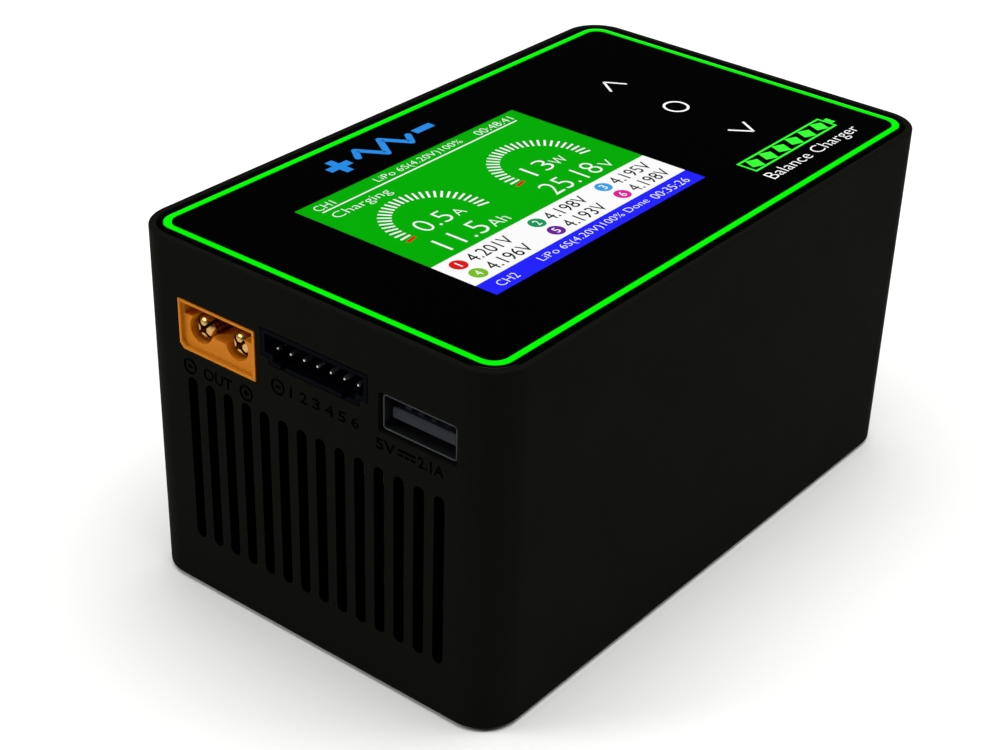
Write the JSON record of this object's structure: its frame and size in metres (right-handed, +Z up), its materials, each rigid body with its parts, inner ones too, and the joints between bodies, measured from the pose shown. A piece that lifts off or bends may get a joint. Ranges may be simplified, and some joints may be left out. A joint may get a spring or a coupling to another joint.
{
  "type": "balance battery charger",
  "caption": "Compact boxy battery charger with a lit-edge colour display panel, touch keys, two-pole output, balance and USB sockets, slotted vents and an internal fan.",
  "frame": {"origin": "middle of the footprint, on the plane of the four rubber feet", "axes": "+Z up through the display panel; -Y is the end with the output, balance and USB sockets; +Y is the fan end with the mains and DC inlets; +X is the long side on the right when facing the sockets"},
  "size_m": [0.068, 0.1106, 0.0593],
  "materials": {
    "case_plastic": "fine-grained matte black ABS/PC, moulded",
    "panel_gloss": "glossy lens printed black underneath",
    "ring_light": "green light guide, lit",
    "screen_glass": "colour display behind the lens, lit",
    "sheet_steel": "plated sheet steel",
    "circuit_board": "green solder mask",
    "gold_plate": "gold-plated contacts",
    "amber_nylon": "amber nylon, satin",
    "header_plastic": "black nylon, faintly blue",
    "tin_plate": "tin-plated contacts",
    "tongue_plastic": "blue-grey insulator",
    "inlet_plastic": "black glass-filled nylon",
    "foot_rubber": "soft black rubber",
    "screw_steel": "blackened steel",
    "fin_aluminium": "extruded, plain",
    "ferrite": "dark grey ferrite",
    "winding_tape": "yellow insulating tape",
    "enamelled_copper": "enamelled copper winding",
    "capacitor_sleeve": "shrink sleeve",
    "fan_plastic": "black PBT",
    "lead_vinyl": "vinyl insulation"
  },
  "bodies": {
    "root": {"case_shell": "case_plastic", "bottom_cover": "case_plastic", "top_panel": "panel_gloss", "light_ring": "ring_light", "display_screen": "screen_glass", "display_tray": "sheet_steel", "usb_shell": "sheet_steel", "touch_board": "circuit_board", "main_board": "circuit_board", "power_board": "circuit_board", "touch_spring_up": "tin_plate", "touch_spring_ok": "tin_plate", "touch_spring_down": "tin_plate", "mains_pin_left": "tin_plate", "mains_pin_right": "tin_plate", "balance_pin_0": "tin_plate", "balance_pin_1": "tin_plate", "balance_pin_2": "tin_plate", "balance_pin_3": "tin_plate", "balance_pin_4": "tin_plate", "balance_pin_5": "tin_plate", "balance_pin_6": "tin_plate", "usb_contact_1": "tin_plate", "usb_contact_2": "tin_plate", "usb_contact_3": "tin_plate", "usb_contact_4": "tin_plate", "output_socket": "amber_nylon", "dc_input_socket": "amber_nylon", "output_pin_minus": "gold_plate", "output_pin_plus": "gold_plate", "dc_input_pin_minus": "gold_plate", "dc_input_pin_plus": "gold_plate", "balance_socket": "header_plastic", "usb_tongue": "tongue_plastic", "mains_inlet": "inlet_plastic", "rubber_foot_1": "foot_rubber", "rubber_foot_2": "foot_rubber", "rubber_foot_3": "foot_rubber", "rubber_foot_4": "foot_rubber", "case_screw_1": "screw_steel", "case_screw_2": "screw_steel", "case_screw_3": "screw_steel", "case_screw_4": "screw_steel", "heatsink": "fin_aluminium", "transformer_core": "ferrite", "boost_choke_1": "ferrite", "boost_choke_2": "ferrite", "transformer_winding": "winding_tape", "filter_choke_1": "enamelled_copper", "filter_choke_2": "enamelled_copper", "bulk_capacitor_1": "capacitor_sleeve", "bulk_capacitor_2": "capacitor_sleeve", "output_capacitor": "capacitor_sleeve", "buzzer": "fan_plastic", "fan_frame": "fan_plastic", "fan_lead": "lead_vinyl"},
    "fan_rotor": {"fan_rotor": "fan_plastic"}
  },
  "joints": [
    {"name": "fan_spin", "type": "hinge", "parent": "root", "child": "fan_rotor", "pos_m": [0.0008, 0.04775, 0.0234], "axis": [0, 1, 0], "continuous": true}
  ]
}
